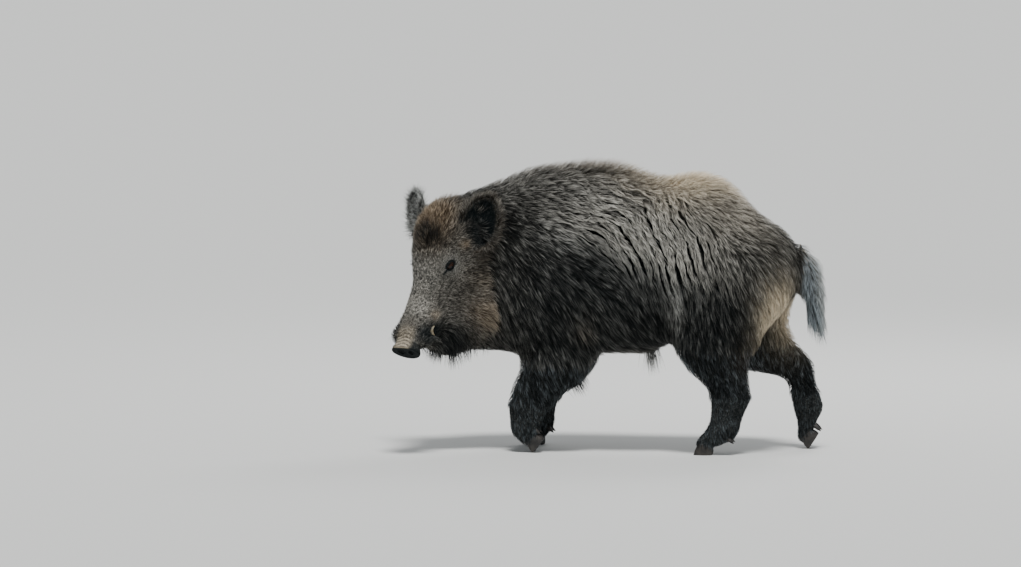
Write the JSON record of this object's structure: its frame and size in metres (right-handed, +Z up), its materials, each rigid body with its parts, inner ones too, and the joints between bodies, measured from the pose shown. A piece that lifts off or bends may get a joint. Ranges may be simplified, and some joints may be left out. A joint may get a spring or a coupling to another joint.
{
  "type": "wild boar",
  "caption": "Still, life-size museum model of an adult male wild boar, walking with its head low and turned to its left, in a bristly grey-brown coat.",
  "frame": {"origin": "on the floor, under the middle of the whole model's box", "axes": "+Z up, +X towards the tail along the trunk, so the boar faces -X; its left side is -Y"},
  "size_m": [1.2636, 0.5404, 0.8543],
  "materials": {
    "coat_grizzled": "coarse dark brown-grey bristles with pale tan tips",
    "coat_dark": "dark brown bristles over woolly underfur",
    "coat_face": "short flat hair, dark brown-grey",
    "coat_black": "short blue-black hair of the lower legs",
    "snout_skin": "bare, finely wrinkled, dusty dark skin",
    "horn": "worn dark horn",
    "tusk": "cream ivory, stained at the gum",
    "eye": "wet dark brown iris"
  },
  "bodies": {
    "root": {"head": "coat_face", "snout": "snout_skin", "left_ear": "coat_dark", "right_ear": "coat_dark", "left_eye": "eye", "right_eye": "eye", "left_tusk": "tusk", "right_tusk": "tusk", "neck": "coat_grizzled", "chest": "coat_grizzled", "barrel": "coat_grizzled", "hindquarters": "coat_grizzled", "tail": "coat_dark", "tail_tuft": "coat_dark", "left_fore_upper": "coat_dark", "left_fore_lower": "coat_black", "left_fore_hoof_outer": "horn", "left_fore_hoof_inner": "horn", "left_fore_dewclaw_outer": "horn", "left_fore_dewclaw_inner": "horn", "right_fore_upper": "coat_dark", "right_fore_lower": "coat_black", "right_fore_hoof_outer": "horn", "right_fore_hoof_inner": "horn", "right_fore_dewclaw_outer": "horn", "right_fore_dewclaw_inner": "horn", "left_hind_upper": "coat_dark", "left_hind_lower": "coat_black", "left_hind_hoof_outer": "horn", "left_hind_hoof_inner": "horn", "left_hind_dewclaw_outer": "horn", "left_hind_dewclaw_inner": "horn", "right_hind_upper": "coat_dark", "right_hind_lower": "coat_black", "right_hind_hoof_outer": "horn", "right_hind_hoof_inner": "horn", "right_hind_dewclaw_outer": "horn", "right_hind_dewclaw_inner": "horn"}
  },
  "joints": []
}
